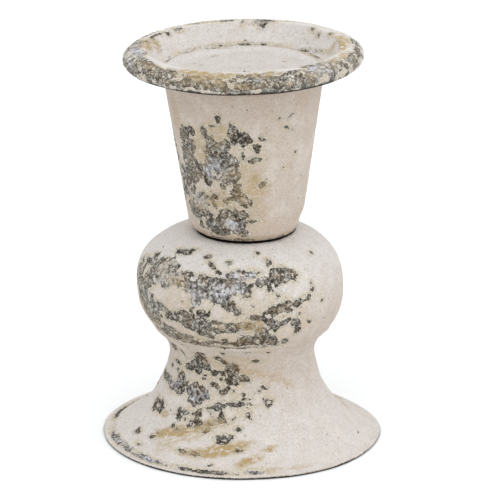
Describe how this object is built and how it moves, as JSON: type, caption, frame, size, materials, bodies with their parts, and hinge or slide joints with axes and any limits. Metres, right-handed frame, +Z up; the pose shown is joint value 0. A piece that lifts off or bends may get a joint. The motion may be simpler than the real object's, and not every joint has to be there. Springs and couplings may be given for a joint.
{
  "type": "pillar candle holder",
  "caption": "Short candle holder in chipped painted sheet metal: bell foot, round hollow knop, tapered cup and a drip pan with a rolled rim.",
  "frame": {"origin": "centre of the foot's ring, on the plane that it rests on", "axes": "+Z up along the axis of the turning; +X and +Y are any two directions square to it"},
  "size_m": [0.1332, 0.1332, 0.1914],
  "materials": {
    "base_paint": "chalky cream paint, flaked to grey galvanised sheet, with ochre rust stains",
    "knop_lower_paint": "chalky cream paint, heavily flaked to grey",
    "knop_upper_paint": "chalky cream paint, flaked to grey",
    "cup_paint": "chalky warm cream paint, flaked to grey",
    "pan_paint": "chalky cream paint, worn through on the rolled rim",
    "plate_paint": "smoother pale grey cream paint",
    "bolt_steel": "dull zinc plated",
    "washer_zinc": "dull zinc plated",
    "spring_washer_steel": "dull zinc plated",
    "nut_zinc": "dull zinc plated"
  },
  "bodies": {
    "root": {"base_bell": "base_paint", "knop_lower_shell": "knop_lower_paint", "knop_upper_shell": "knop_upper_paint", "cup": "cup_paint", "drip_pan": "pan_paint", "candle_plate": "plate_paint", "cup_bolt": "bolt_steel", "cup_washer": "washer_zinc", "knop_washer": "washer_zinc", "spring_washer": "spring_washer_steel", "cup_nut": "nut_zinc"}
  },
  "joints": []
}
